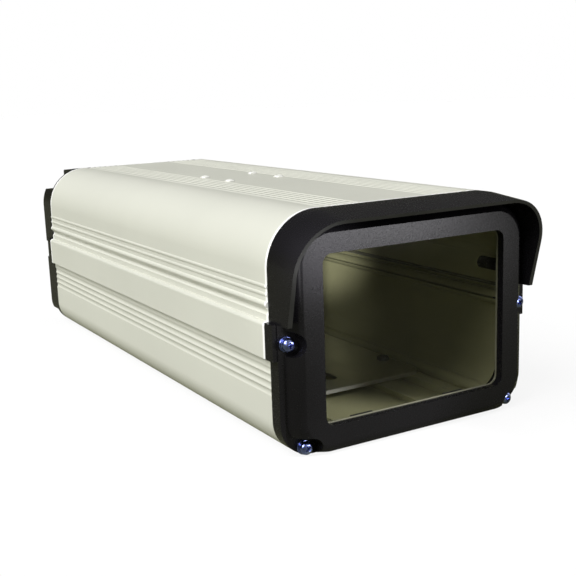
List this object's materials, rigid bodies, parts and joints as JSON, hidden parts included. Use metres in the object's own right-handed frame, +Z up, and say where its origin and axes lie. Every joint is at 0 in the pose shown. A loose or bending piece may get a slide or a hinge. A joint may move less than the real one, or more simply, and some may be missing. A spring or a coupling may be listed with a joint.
{
  "type": "security camera housing",
  "caption": "Long weatherproof camera housing: extruded tray with side-opening cover, dark end caps, glass window under a short hood, cable glands at the rear.",
  "frame": {"origin": "centre of the bracket hole pattern on the tray's underside", "axes": "+X to the right seen from the window end, +Y towards the rear cap, +Z up; the window looks along -Y"},
  "size_m": [0.1537, 0.3661, 0.1101],
  "materials": {
    "body_paint": "smooth satin light grey-beige paint over aluminium",
    "cap_plastic": "fine-grained satin black",
    "seal_rubber": "matte",
    "window_glass": "clear polished",
    "gland_plastic": "satin black",
    "plate_aluminium": "mill finish",
    "rivet_aluminium": "satin",
    "latch_steel": "brushed",
    "black_steel": "blackened, slightly oily",
    "zinc_steel": "bright blue zinc plate"
  },
  "bodies": {
    "housing": {"lower_tray": "body_paint", "left_rim_seal": "seal_rubber", "right_rim_seal": "seal_rubber", "front_cap": "cap_plastic", "front_cap_gasket": "seal_rubber", "window_seal": "seal_rubber", "window_glass": "window_glass", "glass_clips": "black_steel", "glass_clip_screws": "black_steel", "front_cap_screws": "zinc_steel", "front_spring_washers": "zinc_steel", "front_flat_washers": "zinc_steel", "rear_cap": "cap_plastic", "rear_cap_gasket": "seal_rubber", "rear_cap_screws": "zinc_steel", "rear_spring_washers": "zinc_steel", "rear_flat_washers": "zinc_steel", "left_gland_body": "gland_plastic", "left_gland_seal": "seal_rubber", "left_gland_dome_nut": "gland_plastic", "left_gland_lock_nut": "gland_plastic", "middle_gland_body": "gland_plastic", "middle_gland_seal": "seal_rubber", "middle_gland_dome_nut": "gland_plastic", "middle_gland_lock_nut": "gland_plastic", "right_gland_body": "gland_plastic", "right_gland_seal": "seal_rubber", "right_gland_dome_nut": "gland_plastic", "right_gland_lock_nut": "gland_plastic", "camera_sled": "plate_aluminium", "sled_screws": "zinc_steel", "camera_screw": "black_steel", "camera_screw_washer": "black_steel", "front_hinge_pin": "zinc_steel", "rear_hinge_pin": "zinc_steel", "front_latch_base": "latch_steel", "rear_latch_base": "latch_steel", "front_latch_pin": "zinc_steel", "rear_latch_pin": "zinc_steel", "latch_rivets": "rivet_aluminium"},
    "cover": {"upper_cover": "body_paint", "roof_rivets": "rivet_aluminium"},
    "front_latch": {"front_latch_hook": "latch_steel"},
    "rear_latch": {"rear_latch_hook": "latch_steel"}
  },
  "joints": [
    {"name": "cover_hinge", "type": "hinge", "parent": "housing", "child": "cover", "pos_m": [-0.0709, 0, 0.0465], "axis": [0, -1, 0], "range_deg": [0, 100]},
    {"name": "front_latch_hinge", "type": "hinge", "parent": "housing", "child": "front_latch", "pos_m": [0.076, -0.095, 0.039], "axis": [0, -1, 0], "range_deg": [0, 180]},
    {"name": "rear_latch_hinge", "type": "hinge", "parent": "housing", "child": "rear_latch", "pos_m": [0.076, 0.095, 0.039], "axis": [0, -1, 0], "range_deg": [0, 180]}
  ]
}
